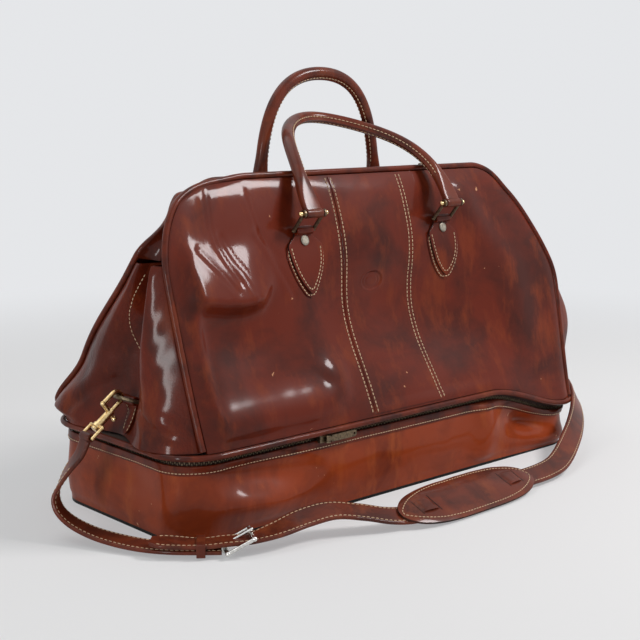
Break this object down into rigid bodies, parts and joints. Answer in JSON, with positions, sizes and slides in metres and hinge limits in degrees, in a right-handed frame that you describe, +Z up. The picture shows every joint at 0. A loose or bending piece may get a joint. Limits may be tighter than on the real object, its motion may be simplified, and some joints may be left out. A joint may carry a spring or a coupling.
{
  "type": "leather travel bag",
  "caption": "Leather travel bag with a zip top over a separate zipped lower compartment, rolled handles on swinging shackles and a clip-on padded shoulder strap.",
  "frame": {"origin": "centre of the base's underside, on the floor", "axes": "+X along the bag's length to the right as seen from the front, +Y to the back, +Z up"},
  "size_m": [0.693, 0.3421, 0.433],
  "materials": {
    "red_leather": "polished red-brown",
    "edge_leather": "darker piping and edges",
    "base_black": "black base",
    "board": "fibre board",
    "lining": "plain lining",
    "zip_tape": "woven tape and coil",
    "brass": "polished",
    "bronze": "dark antique",
    "pewter": "dull",
    "steel": "bright"
  },
  "bodies": {
    "bag": {"base_panel": "base_black", "base_board": "board", "lower_wall": "red_leather", "divider_floor": "lining", "lower_zip": "zip_tape", "lower_piping": "edge_leather", "front_panel": "red_leather", "rear_panel": "red_leather", "front_band": "red_leather", "rear_band": "red_leather", "left_gusset": "red_leather", "right_gusset": "red_leather", "front_piping": "edge_leather", "rear_piping": "edge_leather", "front_zip_facing": "red_leather", "rear_zip_facing": "red_leather", "top_zip": "zip_tape", "left_zip_end": "edge_leather", "right_zip_end": "edge_leather", "front_left_tab": "red_leather", "front_right_tab": "red_leather", "rear_left_tab": "red_leather", "rear_right_tab": "red_leather", "tab_rivets": "pewter", "left_ring_tab": "red_leather", "right_ring_tab": "red_leather", "short_strap": "red_leather", "long_strap": "red_leather", "buckle_frame": "steel", "buckle_prong": "steel", "strap_keeper": "edge_leather", "shoulder_pad": "red_leather", "pad_loops": "edge_leather"},
    "front_shackles": {"front_left_shackle": "bronze", "front_right_shackle": "bronze", "front_left_pin": "brass", "front_right_pin": "brass"},
    "front_handle": {"front_handle": "red_leather"},
    "rear_shackles": {"rear_left_shackle": "bronze", "rear_right_shackle": "bronze", "rear_left_pin": "brass", "rear_right_pin": "brass"},
    "rear_handle": {"rear_handle": "red_leather"},
    "lower_slider": {"lower_zip_slider": "bronze"},
    "lower_pull": {"lower_zip_pull": "bronze"},
    "top_slider": {"top_zip_slider": "bronze"},
    "top_pull": {"top_zip_pull": "bronze"},
    "left_clip": {"left_ring": "bronze", "left_hook": "brass", "left_hook_eye": "brass"},
    "left_bolt": {"left_hook_bolt": "brass"},
    "right_clip": {"right_ring": "bronze", "right_hook": "brass", "right_hook_eye": "brass"},
    "right_bolt": {"right_hook_bolt": "brass"}
  },
  "joints": [
    {"name": "front_shackle_swing", "type": "hinge", "parent": "bag", "child": "front_shackles", "pos_m": [0, -0.06301, 0.272], "axis": [1, 0, 0], "range_deg": [0, 95]},
    {"name": "front_handle_swing", "type": "hinge", "parent": "front_shackles", "child": "front_handle", "pos_m": [0, -0.0781, 0.28936], "axis": [1, 0, 0], "range_deg": [0, 85]},
    {"name": "rear_shackle_swing", "type": "hinge", "parent": "bag", "child": "rear_shackles", "pos_m": [0, 0.0286, 0.272], "axis": [-1, 0, 0], "range_deg": [0, 95]},
    {"name": "rear_handle_swing", "type": "hinge", "parent": "rear_shackles", "child": "rear_handle", "pos_m": [0, 0.0254, 0.29478], "axis": [-1, 0, 0], "range_deg": [0, 60]},
    {"name": "lower_zip_travel", "type": "slide", "parent": "bag", "child": "lower_slider", "axis": [1, 0, 0], "range_m": [-0.09, 0.22]},
    {"name": "lower_pull_flip", "type": "hinge", "parent": "lower_slider", "child": "lower_pull", "pos_m": [-0.118, -0.1187, 0.075], "axis": [0, 0, -1], "range_deg": [0, 160]},
    {"name": "top_zip_travel", "type": "slide", "parent": "bag", "child": "top_slider", "axis": [1, 0, 0], "range_m": [-0.27, 0.05]},
    {"name": "top_pull_flip", "type": "hinge", "parent": "top_slider", "child": "top_pull", "pos_m": [0.12, -0.014, 0.3264], "axis": [0, 1, 0], "range_deg": [0, 165]},
    {"name": "left_ring_swing", "type": "hinge", "parent": "bag", "child": "left_clip", "pos_m": [-0.27386, -0.012, 0.12], "axis": [0, 1, 0], "range_deg": [-15, 10], "deforming": ["short_strap"]},
    {"name": "left_bolt_slide", "type": "slide", "parent": "left_clip", "child": "left_bolt", "axis": [-0.809, 0, -0.5878], "range_m": [0, 0.006], "stiffness_N_per_m": 200, "springref_m": -0.002},
    {"name": "right_ring_swing", "type": "hinge", "parent": "bag", "child": "right_clip", "pos_m": [0.27386, -0.012, 0.12], "axis": [0, -1, 0], "range_deg": [-15, 10], "deforming": ["long_strap"]},
    {"name": "right_bolt_slide", "type": "slide", "parent": "right_clip", "child": "right_bolt", "axis": [0.809, 0, -0.5878], "range_m": [0, 0.006], "stiffness_N_per_m": 200, "springref_m": -0.002}
  ]
}
